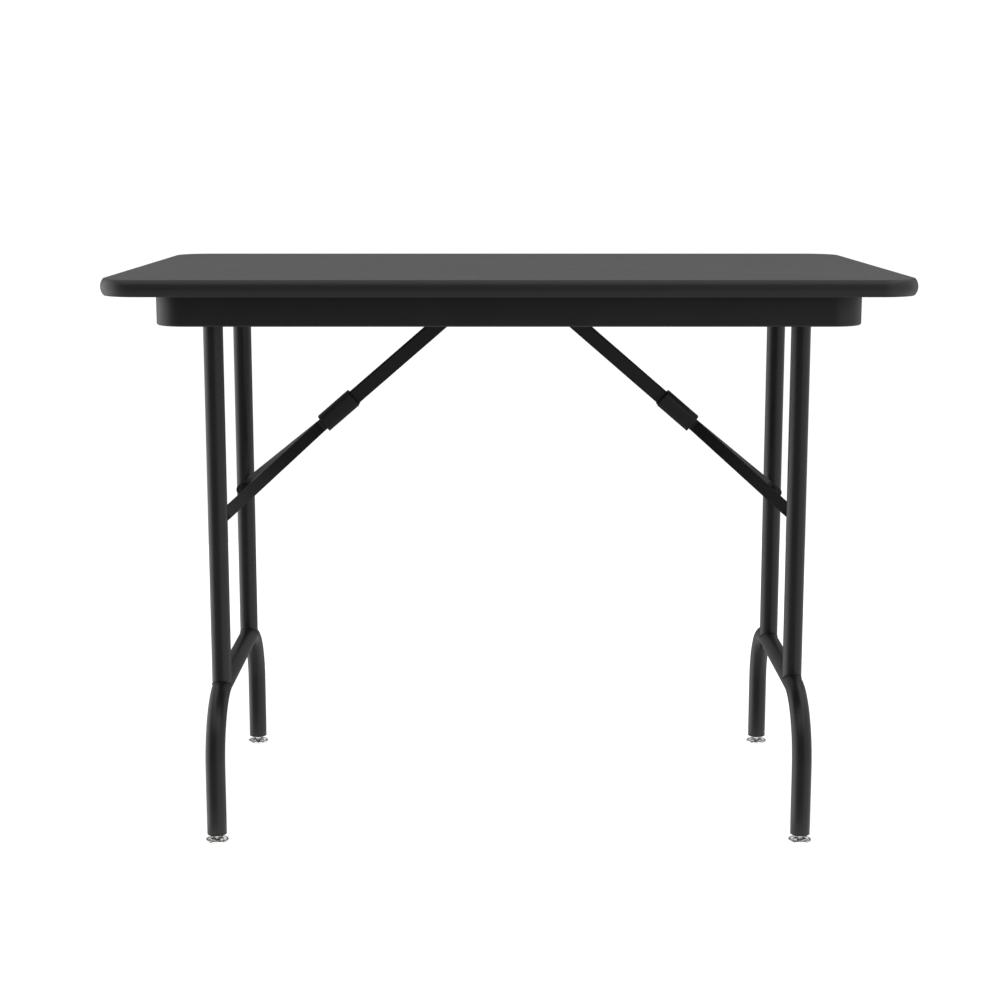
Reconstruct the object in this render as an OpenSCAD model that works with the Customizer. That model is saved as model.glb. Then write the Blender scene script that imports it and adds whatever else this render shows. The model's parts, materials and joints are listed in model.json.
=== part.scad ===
// Folding table: laminated top with a vinyl edge, steel apron, two folding wishbone legs
// and two folding braces with slide locks. Millimetres, +Z up, origin on the floor under the
// centre of the top. X runs along the top, Y from the front edge to the rear edge.

/* [Table top] */
// Length of the table top, over the edge moulding
top_w = 989; // [960:1:1250]
// Depth of the table top, over the edge moulding
top_d = 643; // [600:1:800]
// Height of the table top above the floor
table_h = 737; // [700:1:900]
// Thickness of the particleboard core
core_t = 19; // [16:0.5:25]
// Thickness of the decorative laminate
laminate_t = 0.9; // [0.7:0.1:1.5]
// Thickness of the backing sheet under the core
backer_t = 0.7; // [0.5:0.1:1.5]
// Plan radius of the table top's corners
corner_r = 50; // [30:1:80]
// How far the rounded edge moulding stands out from the laminate
edge_crown = 4.5; // [3:0.5:7]
// Width of the moulding's flat lip beside the laminate
edge_lip = 0.5; // [0.3:0.1:1]
// Depth of the moulding's tongue in the core's groove
tongue_depth = 9; // [6:0.5:14]
// Thickness of the moulding's tongue
tongue_t = 2; // [1.5:0.1:3]

/* [Apron] */
// Distance from the edge of the top to the apron
apron_inset = 58.4; // [40:0.1:80]
// Height of the apron
apron_h = 40; // [32:1:60]
// Thickness of the apron's sheet steel
apron_t = 1.2; // [0.8:0.1:2]
// Plan radius of the apron's corners
apron_r = 40; // [25:1:60]
// Width of the apron's upper flange
apron_flange = 18; // [14:1:24]
// Width of the apron's lower lip
apron_lip = 8; // [5:1:12]
// Half length of the plates that join the two halves of the apron
splice_half = 30; // [20:1:50]

/* [Legs] */
// Outside diameter of the leg tube
tube_d = 25.4; // [22:0.1:32]
// Wall of the leg tube
tube_wall = 1.4; // [1:0.1:2.5]
// Distance from the end of the top to the plane of a leg
leg_inset = 115.3; // [105:0.1:150]
// Mean distance of the uprights from the centre line
upright_spread = 127.9; // [90:0.1:160]
// Distance of the feet from the centre line
foot_spread = 218.4; // [200:0.1:260]
// Height of the wishbone's bar above the floor
bar_h = 190.5; // [150:0.5:230]
// Bend radius of the wishbone, to the middle of the tube
bend_r = 88; // [60:1:88]
// Space between the nested uprights when both legs are folded
nest_gap = 1.2; // [1:0.1:4]
// Length of the pivot tube outside each upright
pivot_overhang = 52; // [45:1:70]

/* [Glides] */
// Height of the foot tubes' ends above the floor
glide_h = 15.4; // [10:0.1:20]
// Outside diameter of the glide's rim
glide_d = 30; // [26:0.5:38]
// Diameter of the flat in the middle of the glide's domed base
glide_flat = 11; // [8:1:16]
// Radius of the glide's dome
dome_r = 44; // [40:1:60]
// Thickness of the glide's base
glide_t = 2; // [1.5:0.1:3]
// Height of the top of the glide's rim
rim_top = 7; // [6:0.5:9]
// Thickness of the glide's rim
rim_t = 1.2; // [0.8:0.1:2]
// Diameter of the glide's stem
stem_d = 8; // [6:0.5:8]
// Length of the stem inside the foot
stem_grip = 14; // [10:1:18]

/* [Braces] */
// Distance of each brace's upper pin from the middle of the top
brace_pin_x = 45; // [35:1:70]
// Drop of the upper pin below the table top
brace_pin_drop = 16.4; // [15:0.1:25]
// Height above the floor of the brace's pivots on the uprights
brace_foot_z = 411.8; // [380:0.1:440]
// Length of the upper arm between its pins
upper_len = 245; // [225:1:260]
// Height of the upper arm
upper_h = 20; // [16:1:24]
// Width of the upper arm
upper_w = 12; // [10:1:20]
// Thickness of the upper arm's sheet steel
upper_t = 1.5; // [1.2:0.1:2.5]
// Height of the lower arm
lower_h = 16; // [12:1:19]
// Thickness of the lower arm's straps
strap_t = 2; // [1.5:0.1:2.5]
// Thickness of the lower arm's web
web_t = 1.5; // [1.2:0.1:2.5]
// Distance from the end of the web to the start of the ears
web_short = 42; // [7:1:60]
// Distance from the middle hinge to where the straps start to spread
flare_start = 31; // [31:1:40]
// Length of the straight ear before the pivot on the upright
ear_len = 13; // [12:1:20]
// Length of the lock sleeve
sleeve_len = 54; // [40:1:54]
// Wall of the lock sleeve
sleeve_wall = 2.9; // [2:0.1:4]
// Diameter of the brace's pins and rivets
pin_d = 8; // [6:0.5:8]

/* [Fits] */
// Radial clearance where a pin or rivet turns in a hole
run_gap = 0.06; // [0.02:0.01:0.1]
// Clearance between plates that move past each other
side_gap = 0.4; // [0.3:0.05:0.6]
// Gap between a coped tube end and the tube it is welded to
weld_gap = 0.15; // [0.1:0.05:0.3]
// Gap between the pivot tube and the underside of the top
pivot_gap = 0.8; // [0.5:0.1:2]
// Gap between the brace's ears and the uprights
ear_gap = 0.6; // [0.4:0.1:1.5]
// Thickness of brackets and pivot straps
bracket_t = 2; // [1.5:0.1:3]
// Diameter of the wood screws
screw_d = 4; // [3.5:0.1:5]

/* [Hidden] */
$fn = 64;
left = -1;
right = 1;
front = -1;
rear = 1;
past = 1; // how far a cut runs past the face it opens

top_t = core_t + laminate_t + backer_t;
under_z = table_h - top_t;
core_w = top_w - 2 * edge_crown;
core_d = top_d - 2 * edge_crown;
core_r = corner_r - edge_crown;
crown_rise = edge_crown - edge_lip;
crown_r = (pow(top_t / 2, 2) + pow(crown_rise, 2)) / (2 * crown_rise);

apron_w = top_w - 2 * apron_inset;
apron_d = top_d - 2 * apron_inset;
apron_z = under_z - apron_h;
flange_screw_in = apron_t + apron_flange / 2;

tube_r = tube_d / 2;
bore_r = tube_r - tube_wall;
leg_x = top_w / 2 - leg_inset;
pivot_z = under_z - pivot_gap - tube_r;
strap_w = 25;
strap_foot = 18;
strap_r = tube_r + 0.3;
strap_off = tube_r + 5 + strap_w / 2;

pin_r = pin_d / 2;
head_r = pin_r + 2.5;
pin_z = under_z - brace_pin_drop;
arm_angle = atan2(pin_z - brace_foot_z, leg_x - brace_pin_x);
arm_len = norm([leg_x - brace_pin_x, pin_z - brace_foot_z]);
lower_len = arm_len - upper_len;
fork_y = upper_w / 2 + side_gap;
flare_end = lower_len - ear_len;
web_start = sleeve_len / 2;
web_end = flare_end - web_short;
ear_tail = 5;
rivet_head = 1;
sleeve_in_y = fork_y + strap_t + side_gap / 2 + rivet_head + side_gap;
sleeve_in_z = upper_h / 2 + side_gap;
sleeve_y = sleeve_in_y + sleeve_wall;
sleeve_z = sleeve_in_z + sleeve_wall;

screw_r = screw_d / 2;
screw_grip = 13;
bracket_x = 26;
bracket_y = 22;
bracket_hole_x = 18;
bracket_hole_y = 15;

// Left uprights stand half a tube further out, right ones half a tube further in, so that
// the folded legs lie side by side.
function upright_y(side) = upright_spread - side * (tube_d + nest_gap) / 2;
function ear_y(side) = upright_y(side) - tube_r - ear_gap - strap_t;
function flare_y(side, x) = fork_y + (ear_y(side) - fork_y) * (x - flare_start) / (flare_end - flare_start);
function spread(count, half) = [for (i = [0 : count - 1]) half * (2 * i / (count - 1) - 1)];

apron_points = concat(
  [for (x = spread(5, apron_w / 2 - 76), e = [-1, 1]) [x, e * (apron_d / 2 - flange_screw_in)]],
  [for (y = [-apron_d / 4, apron_d / 4], e = [-1, 1]) [e * (apron_w / 2 - flange_screw_in), y]]
);
strap_points = [
  for (side = [left, right], e = [-1, 1], s = [-1, 1])
    [side * leg_x + s * (strap_r + bracket_t + strap_foot / 2), e * (upright_y(side) + strap_off)]
];
bracket_points = [
  for (side = [left, right], e = [-1, 1], s = [-1, 1])
    [side * brace_pin_x + s * bracket_hole_x, e * bracket_hole_y]
];

// ---- shared shapes ----

// Flat slab with round plan corners, centred on X and Y, from z = 0 upwards
module slab(w, d, r, t) {
  translate([-w / 2 + r, -d / 2, 0]) cube([w - 2 * r, d, t]);
  translate([-w / 2, -d / 2 + r, 0]) cube([w, d - 2 * r, t]);
  for (sx = [-1, 1], sy = [-1, 1])
    translate([sx * (w / 2 - r), sy * (d / 2 - r), 0]) cylinder(r = r, h = t);
}

// Rod along Y, centred on its own middle
module rod_y(r, len) {
  rotate([90, 0, 0]) cylinder(r = r, h = len, center = true);
}

// Disc along Y whose inner face is at y
module disc_y(r, y, t) {
  translate([0, y + t, 0]) rotate([90, 0, 0]) cylinder(r = r, h = t);
}

// Puts a shape drawn for the right-hand end at either end of the table
module at_side(side) {
  if (side == right) children();
  else mirror([1, 0, 0]) children();
}

// Puts a shape drawn for the rear at the front or the rear
module at_edge(edge) {
  if (edge == rear) children();
  else mirror([0, 1, 0]) children();
}

// Frame of a brace arm: origin at the upper pin, +X down along the arm
module on_arm(x) {
  translate([brace_pin_x, 0, pin_z]) rotate([0, arm_angle, 0]) translate([x, 0, 0]) children();
}

// Clearance holes for the screws at the given points
module screw_holes(points) {
  for (p = points)
    translate([p[0], p[1], under_z - 5]) cylinder(r = screw_r + run_gap, h = screw_grip + 5, $fn = 24);
}

// Pan-head wood screws with their heads under the face at z = seat
module screws(points, seat) {
  for (p = points)
    translate([p[0], p[1], seat]) {
      translate([0, 0, -1]) cylinder(r = screw_r, h = under_z + screw_grip - seat, $fn = 24);
      translate([0, 0, -1.2]) cylinder(r = 2 * screw_r, h = 1.2, $fn = 32);
      translate([0, 0, -2.4]) cylinder(r1 = 1.4 * screw_r, r2 = 2 * screw_r, h = 1.2, $fn = 32);
    }
}

// ---- table top ----

module core_board() {
  groove_z = (top_t - tongue_t) / 2 - backer_t - run_gap;
  groove_t = tongue_t + 2 * run_gap;
  groove_in = tongue_depth + side_gap;
  color("burlywood")
    translate([0, 0, under_z + backer_t])
      difference() {
        union() {
          slab(core_w, core_d, core_r, groove_z);
          translate([0, 0, groove_z])
            slab(core_w - 2 * groove_in, core_d - 2 * groove_in, core_r - groove_in, groove_t);
          translate([0, 0, groove_z + groove_t])
            slab(core_w, core_d, core_r, core_t - groove_z - groove_t);
        }
        translate([0, 0, -under_z - backer_t])
          screw_holes(concat(apron_points, strap_points, bracket_points));
      }
}

module top_laminate() {
  color("dimgray") translate([0, 0, table_h - laminate_t]) slab(core_w, core_d, core_r, laminate_t);
}

module backer_sheet() {
  color("saddlebrown")
    difference() {
      translate([0, 0, under_z]) slab(core_w, core_d, core_r, backer_t);
      screw_holes(concat(apron_points, strap_points, bracket_points));
    }
}

// Section of the moulding: a crowned band and its tongue, with x = 0 at the core's edge
module moulding_section() {
  intersection() {
    translate([edge_crown - crown_r, 0]) circle(r = crown_r, $fn = 96);
    translate([0, -top_t / 2]) square([edge_crown + past, top_t]);
  }
  translate([-tongue_depth, -tongue_t / 2]) square([tongue_depth + edge_crown / 2, tongue_t]);
}

module edge_moulding() {
  color("black")
    translate([0, 0, table_h - top_t / 2])
      for (turn = [0, 180])
        rotate([0, 0, turn]) {
          translate([core_w / 2, core_d / 2 - core_r, 0]) rotate([90, 0, 0])
            linear_extrude(core_d - 2 * core_r) moulding_section();
          translate([core_r - core_w / 2, core_d / 2, 0]) rotate([90, 0, 90])
            linear_extrude(core_w - 2 * core_r) moulding_section();
          translate([core_w / 2 - core_r, core_d / 2 - core_r, 0])
            rotate_extrude(angle = 90) translate([core_r, 0]) moulding_section();
          translate([core_r - core_w / 2, core_d / 2 - core_r, 0]) rotate([0, 0, 90])
            rotate_extrude(angle = 90) translate([core_r, 0]) moulding_section();
        }
}

// ---- apron ----

// Ring of the apron's sheet, from its outer face inwards by the given width
module apron_ring(z, width, h) {
  translate([0, 0, z])
    difference() {
      slab(apron_w, apron_d, apron_r, h);
      translate([0, 0, -past])
        slab(apron_w - 2 * width, apron_d - 2 * width, apron_r - width, h + 2 * past);
    }
}

// Half of the apron: a wall with an upper flange and a lower lip
module apron_half(edge) {
  color([0.15, 0.14, 0.14])
    at_edge(edge)
      difference() {
        union() {
          apron_ring(apron_z, apron_t, apron_h);
          apron_ring(under_z - apron_t, apron_t + apron_flange, apron_t);
          apron_ring(apron_z, apron_t + apron_lip, apron_t);
        }
        translate([-apron_w, -apron_d, apron_z - past])
          cube([2 * apron_w, apron_d + side_gap / 2, apron_h + 2 * past]);
        screw_holes(apron_points);
      }
}

module apron_splice(side) {
  color([0.15, 0.14, 0.14])
    at_side(side)
      translate([apron_w / 2 - apron_t - bracket_t, -splice_half, apron_z + apron_t + 2])
        cube([bracket_t, 2 * splice_half, apron_h - 2 * apron_t - 4]);
}

module apron_screws() {
  color("silver") screws(apron_points, under_z - apron_t);
}

module pivot_strap_screws() {
  color("silver") screws(strap_points, under_z - bracket_t);
}

module brace_bracket_screws() {
  color("silver") screws(bracket_points, under_z - bracket_t);
}

// ---- leg mountings and legs ----

// Saddle strap that holds the pivot tube under the top
module pivot_strap(side, edge) {
  drop = under_z - pivot_z;
  outer_r = strap_r + bracket_t;
  color([0.15, 0.14, 0.14])
    difference() {
      translate([side * leg_x, edge * (upright_y(side) + strap_off), pivot_z])
        difference() {
          union() {
            rod_y(outer_r, strap_w);
            translate([-outer_r, -strap_w / 2, 0]) cube([2 * outer_r, strap_w, drop]);
            translate([-outer_r - strap_foot, -strap_w / 2, drop - bracket_t])
              cube([2 * (outer_r + strap_foot), strap_w, bracket_t]);
          }
          rod_y(strap_r, strap_w + 2 * past);
          translate([-strap_r, -strap_w / 2 - past, 0]) cube([2 * strap_r, strap_w + 2 * past, outer_r + past]);
        }
      screw_holes(strap_points);
    }
}

module pivot_tube(side) {
  len = 2 * (upright_y(side) + pivot_overhang);
  color([0.15, 0.14, 0.14])
    translate([side * leg_x, 0, pivot_z])
      difference() {
        rod_y(tube_r, len);
        rod_y(bore_r, len + 2 * past);
      }
}

// Plastic caps in the ends of the pivot tube
module pivot_caps(side) {
  color("black")
    for (edge = [front, rear])
      at_edge(edge)
        translate([side * leg_x, upright_y(side) + pivot_overhang, pivot_z]) {
          disc_y(tube_r, 0, 2);
          disc_y(bore_r, -12, 12 + past);
        }
}

// Solid of the wishbone's path: a bar between two bends and two feet
module wishbone_path(side, r, below) {
  straight = foot_spread - bend_r;
  translate([side * leg_x, 0, bar_h]) {
    rod_y(r, 2 * straight);
    for (edge = [front, rear])
      at_edge(edge) {
        translate([0, straight, -bend_r]) rotate([90, 0, 90])
          rotate_extrude(angle = 90) translate([bend_r, 0]) circle(r = r);
        translate([0, foot_spread, glide_h - bar_h - below])
          cylinder(r = r, h = bar_h - bend_r - glide_h + below);
      }
  }
}

module wishbone(side) {
  color([0.15, 0.14, 0.14])
    difference() {
      wishbone_path(side, tube_r, 0);
      wishbone_path(side, bore_r, past);
    }
}

module upright(side, edge) {
  color([0.15, 0.14, 0.14])
    difference() {
      translate([side * leg_x, edge * upright_y(side), bar_h]) cylinder(r = tube_r, h = pivot_z - bar_h);
      translate([side * leg_x, edge * upright_y(side), bar_h - past])
        cylinder(r = bore_r, h = pivot_z - bar_h + 2 * past);
      wishbone_path(side, tube_r + weld_gap, 0);
      translate([side * leg_x, 0, pivot_z]) rod_y(tube_r + weld_gap, 2 * (upright_y(side) + tube_d));
      at_edge(edge)
        translate([side * leg_x, upright_y(side), brace_foot_z])
          disc_y(pin_r + run_gap, -tube_r - past, tube_r + past);
    }
}

// Blind rivets in the uprights' inner walls that carry the brace
module brace_studs(side) {
  tail_y = run_gap - sqrt(pow(bore_r, 2) - pow(head_r, 2));
  color("silver")
    for (edge = [front, rear])
      at_edge(edge)
        translate([side * leg_x, upright_y(side), brace_foot_z]) {
          disc_y(pin_r, -tube_r, tube_r + tail_y + rivet_head);
          disc_y(head_r, tail_y, 1.5 * rivet_head);
        }
}

// Plastic plugs that hold the glides in the feet
module foot_plugs(side) {
  color("black")
    for (edge = [front, rear])
      translate([side * leg_x, edge * foot_spread, glide_h])
        difference() {
          union() {
            translate([0, 0, -1.5]) cylinder(r = tube_r, h = 1.5);
            translate([0, 0, -past]) cylinder(r = bore_r, h = 22 + past);
          }
          translate([0, 0, -3]) cylinder(r = stem_d / 2, h = 22);
        }
}

// Pressed steel glide: a domed base with a turned-up rim, on a stem
module glide(side, edge) {
  rim_r = glide_d / 2;
  rim_z = dome_r - sqrt(pow(dome_r, 2) - pow(rim_r, 2));
  dome_z = sqrt(pow(dome_r, 2) - pow(glide_flat / 2, 2));
  color("gainsboro")
    translate([side * leg_x, edge * foot_spread, 0])
      rotate_extrude()
        union() {
          difference() {
            intersection() {
              translate([0, dome_z]) circle(r = dome_r, $fn = 160);
              square([rim_r, rim_top]);
            }
            translate([0, dome_z + glide_t]) circle(r = dome_r, $fn = 160);
          }
          translate([rim_r - rim_t, rim_z]) square([rim_t, rim_top - rim_z]);
          translate([0, glide_t - 0.5]) square([stem_d / 2, glide_h + stem_grip]);
        }
}

// ---- braces ----

// Bracket under the top that holds the upper pin between two ears
module brace_bracket(side) {
  ear_r = 9;
  ear_in = fork_y;
  color([0.15, 0.14, 0.14])
    difference() {
      at_side(side)
        translate([brace_pin_x, 0, pin_z])
          difference() {
            union() {
              translate([-bracket_x, -bracket_y, brace_pin_drop - bracket_t])
                cube([2 * bracket_x, 2 * bracket_y, bracket_t]);
              for (edge = [front, rear])
                at_edge(edge) {
                  disc_y(ear_r, ear_in, bracket_t);
                  translate([-ear_r, ear_in, 0]) cube([2 * ear_r, bracket_t, brace_pin_drop - bracket_t]);
                }
            }
            rod_y(pin_r + run_gap, 2 * (ear_in + bracket_t + past));
          }
      screw_holes(bracket_points);
    }
}

module brace_pin(side) {
  seat = fork_y + bracket_t;
  color("silver")
    at_side(side)
      translate([brace_pin_x, 0, pin_z]) {
        rod_y(pin_r, 2 * (seat + past));
        for (edge = [front, rear])
          at_edge(edge) disc_y(head_r, seat, 1.8);
      }
}

// Upper arm: a channel that opens downwards, from the upper pin to the middle hinge
module upper_arm(side) {
  color([0.15, 0.14, 0.14])
    at_side(side)
      on_arm(0)
        difference() {
          union() {
            for (edge = [front, rear])
              at_edge(edge) {
                translate([0, upper_w / 2 - upper_t, -upper_h / 2]) cube([upper_len, upper_t, upper_h]);
                disc_y(upper_h / 2, upper_w / 2 - upper_t, upper_t);
                translate([upper_len, 0, 0]) disc_y(upper_h / 2, upper_w / 2 - upper_t, upper_t);
              }
            translate([0, -upper_w / 2, upper_h / 2 - upper_t]) cube([upper_len, upper_w, upper_t]);
          }
          for (x = [0, upper_len])
            translate([x, 0, 0]) rod_y(pin_r + run_gap, upper_w + 2 * past);
        }
}

module hinge_rivet(side) {
  seat = fork_y + strap_t + side_gap / 2;
  color("silver")
    at_side(side)
      on_arm(upper_len) {
        rod_y(pin_r, 2 * (seat + rivet_head / 2));
        for (edge = [front, rear])
          at_edge(edge) disc_y(head_r, seat, rivet_head);
      }
}

// Strap of the lower arm: straight fork, spread, and straight ear at the upright
module lower_strap(side, edge) {
  ear_end = lower_len + ear_tail;
  inner = [[0, fork_y], [flare_start, fork_y], [flare_end, ear_y(side)], [ear_end, ear_y(side)]];
  outline = concat(inner, [for (i = [3 : -1 : 0]) inner[i] + [0, strap_t]]);
  color([0.15, 0.14, 0.14])
    at_side(side)
      on_arm(upper_len)
        at_edge(edge)
          difference() {
            union() {
              translate([0, 0, -lower_h / 2]) linear_extrude(lower_h) polygon(outline);
              disc_y(lower_h / 2, fork_y, strap_t);
              translate([ear_end, 0, 0]) disc_y(lower_h / 2, ear_y(side), strap_t);
            }
            translate([0, fork_y, 0]) rod_y(pin_r + run_gap, 6 * strap_t);
            translate([lower_len, ear_y(side), 0]) rod_y(pin_r + run_gap, 6 * strap_t);
          }
}

// Web plate between the straps, along their upper edges
module lower_web(side) {
  half = [[web_start, fork_y], [flare_start, fork_y], [web_end, flare_y(side, web_end)]];
  outline = concat(half, [for (i = [2 : -1 : 0]) [half[i][0], -half[i][1]]]);
  color([0.15, 0.14, 0.14])
    at_side(side)
      on_arm(upper_len)
        translate([0, 0, lower_h / 2 - web_t]) linear_extrude(web_t) polygon(outline);
}

module ear_rivets(side) {
  color("silver")
    at_side(side)
      on_arm(upper_len + lower_len)
        for (edge = [front, rear])
          at_edge(edge) {
            disc_y(pin_r, ear_y(side) - past, strap_t + past);
            disc_y(head_r, ear_y(side) - 2, 2);
          }
}

// Slide lock: a rounded sleeve over the middle hinge, open underneath
module lock_sleeve(side) {
  top_r = 9;
  low_r = 6;
  color([0.15, 0.14, 0.14])
    at_side(side)
      on_arm(upper_len - sleeve_len / 2)
        difference() {
          union() {
            translate([0, -sleeve_y, low_r - sleeve_z])
              cube([sleeve_len, 2 * sleeve_y, 2 * sleeve_z - low_r - top_r]);
            translate([0, top_r - sleeve_y, 0]) cube([sleeve_len, 2 * (sleeve_y - top_r), sleeve_z]);
            translate([0, low_r - sleeve_y, -sleeve_z]) cube([sleeve_len, 2 * (sleeve_y - low_r), sleeve_z]);
            for (edge = [-1, 1]) {
              translate([0, edge * (sleeve_y - top_r), sleeve_z - top_r]) rotate([0, 90, 0])
                cylinder(r = top_r, h = sleeve_len);
              translate([0, edge * (sleeve_y - low_r), low_r - sleeve_z]) rotate([0, 90, 0])
                cylinder(r = low_r, h = sleeve_len);
            }
          }
          translate([-past, -sleeve_in_y, -sleeve_z - past])
            cube([sleeve_len + 2 * past, 2 * sleeve_in_y, sleeve_z + past + sleeve_in_z]);
        }
}

core_board();
top_laminate();
backer_sheet();
edge_moulding();
apron_half(front);  // apron_front
apron_half(rear);  // apron_rear
apron_splice(left);  // left_apron_splice
apron_splice(right);  // right_apron_splice
apron_screws();
pivot_strap_screws();
brace_bracket_screws();
pivot_strap(left, front);  // left_pivot_strap_front
pivot_strap(left, rear);  // left_pivot_strap_rear
pivot_strap(right, front);  // right_pivot_strap_front
pivot_strap(right, rear);  // right_pivot_strap_rear
brace_bracket(left);  // left_brace_bracket
brace_bracket(right);  // right_brace_bracket
brace_pin(left);  // left_brace_pin
brace_pin(right);  // right_brace_pin
pivot_tube(left);  // left_pivot_tube
pivot_caps(left);  // left_pivot_caps
upright(left, front);  // left_upright_front
upright(left, rear);  // left_upright_rear
wishbone(left);  // left_wishbone
foot_plugs(left);  // left_foot_plugs
glide(left, front);  // left_glide_front
glide(left, rear);  // left_glide_rear
brace_studs(left);  // left_brace_studs
pivot_tube(right);  // right_pivot_tube
pivot_caps(right);  // right_pivot_caps
upright(right, front);  // right_upright_front
upright(right, rear);  // right_upright_rear
wishbone(right);  // right_wishbone
foot_plugs(right);  // right_foot_plugs
glide(right, front);  // right_glide_front
glide(right, rear);  // right_glide_rear
brace_studs(right);  // right_brace_studs
upper_arm(left);  // left_upper_arm
hinge_rivet(left);  // left_hinge_rivet
lower_strap(left, front);  // left_lower_strap_front
lower_strap(left, rear);  // left_lower_strap_rear
lower_web(left);  // left_lower_web
ear_rivets(left);  // left_ear_rivets
lock_sleeve(left);  // left_lock_sleeve
upper_arm(right);  // right_upper_arm
hinge_rivet(right);  // right_hinge_rivet
lower_strap(right, front);  // right_lower_strap_front
lower_strap(right, rear);  // right_lower_strap_rear
lower_web(right);  // right_lower_web
ear_rivets(right);  // right_ear_rivets
lock_sleeve(right);  // right_lock_sleeve
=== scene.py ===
import json
import math

import bmesh
import bpy
import numpy as np
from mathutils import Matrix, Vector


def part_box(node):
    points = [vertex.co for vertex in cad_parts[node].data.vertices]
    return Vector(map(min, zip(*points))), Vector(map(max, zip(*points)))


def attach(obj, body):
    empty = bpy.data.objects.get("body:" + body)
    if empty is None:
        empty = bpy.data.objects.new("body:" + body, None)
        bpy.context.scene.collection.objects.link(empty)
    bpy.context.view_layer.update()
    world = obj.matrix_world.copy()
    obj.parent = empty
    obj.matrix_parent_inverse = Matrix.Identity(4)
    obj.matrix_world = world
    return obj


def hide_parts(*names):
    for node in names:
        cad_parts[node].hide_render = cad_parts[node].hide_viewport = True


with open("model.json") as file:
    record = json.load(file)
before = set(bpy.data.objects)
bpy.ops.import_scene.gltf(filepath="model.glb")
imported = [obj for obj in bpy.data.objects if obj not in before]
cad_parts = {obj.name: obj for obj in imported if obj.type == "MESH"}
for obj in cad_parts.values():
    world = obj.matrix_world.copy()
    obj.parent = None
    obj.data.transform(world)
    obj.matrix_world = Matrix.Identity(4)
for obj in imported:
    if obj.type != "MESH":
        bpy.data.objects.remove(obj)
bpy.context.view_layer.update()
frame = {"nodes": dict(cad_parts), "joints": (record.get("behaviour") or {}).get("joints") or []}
mm = 0.001  # sizes below are in millimetres, meshes in metres
sides = {"left": -1, "right": 1}  # which way each side lies along x
edges = {"front": -1, "rear": 1}  # which way each edge lies along y
print("frame loaded")


# lowest and highest corner of a CAD node, in millimetres
def nodeBox(name):
    low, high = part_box(name)
    return np.array(low) / mm, np.array(high) / mm


# middle of a CAD node's box, in millimetres
def nodeMiddle(name):
    low, high = nodeBox(name)
    return (low + high) / 2


pivotOf = {joint["name"]: np.array(joint["pos_m"]) / mm for joint in frame["joints"] if "pos_m" in joint}


lens = {"focal": 70, "sensor": 36, "tiltDown": 10.03, "place": (-11.1, -2635.1, 881.7)}

cameraData = bpy.data.cameras.new("camera")
cameraData.lens = lens["focal"]
cameraData.sensor_width = lens["sensor"]
camera = bpy.data.objects.new("camera", cameraData)
camera.location = [value * mm for value in lens["place"]]
camera.rotation_euler = (math.radians(90 - lens["tiltDown"]), 0, 0)
bpy.context.scene.collection.objects.link(camera)
bpy.context.scene.camera = camera


# an sRGB hex colour as linear red, green, blue and alpha: c/12.92 below 0.04045, else a 2.4 power
def linear(hexColour):
    parts = np.array([int(hexColour[i:i + 2], 16) for i in (1, 3, 5)]) / 255
    low, high = parts / 12.92, ((parts + 0.055) / 1.055) ** 2.4
    return tuple(float(c) for c in np.where(parts <= 0.04045, low, high)) + (1.0,)


# adds one node with its settings; an input takes a value, or the output socket it is fed from
def addNode(tree, kind, inputs, **settings):
    made = tree.nodes.new(kind)
    for key, value in settings.items():
        setattr(made, key, value)
    for key, value in inputs.items():
        if isinstance(value, bpy.types.NodeSocket):
            tree.links.new(value, made.inputs[key])
        else:
            made.inputs[key].default_value = value
    return made


# a pattern's scale in Blender units from the real size of its grain in millimetres
def grain(size):
    return 1 / (size * mm)


# starts a material; gives its tree, the object's coordinates and a cloudy noise, whose grain in
# millimetres, detail and roughness are the look's cloud
def startMaterial(name, look):
    material = bpy.data.materials.new(name)
    material.use_nodes = True
    tree = material.node_tree
    place = addNode(tree, "ShaderNodeTexCoord", {}).outputs["Object"]
    size, detail, rough = look["cloud"]
    cloud = addNode(tree, "ShaderNodeTexNoise", {"Vector": place, "Scale": grain(size), "Detail": detail,
                                                 "Roughness": rough})
    return material, tree, place, cloud.outputs["Fac"]


# a noise drawn out along the axes, from the real size of its grain along each
def drawnNoise(tree, vector, sizes, detail, bend=0.0):
    laid = addNode(tree, "ShaderNodeMapping", {"Vector": vector, "Scale": [grain(size) for size in sizes]})
    return addNode(tree, "ShaderNodeTexNoise", {"Vector": laid.outputs["Vector"], "Scale": 1.0,
                                                "Detail": detail, "Distortion": bend}).outputs["Fac"]


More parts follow.
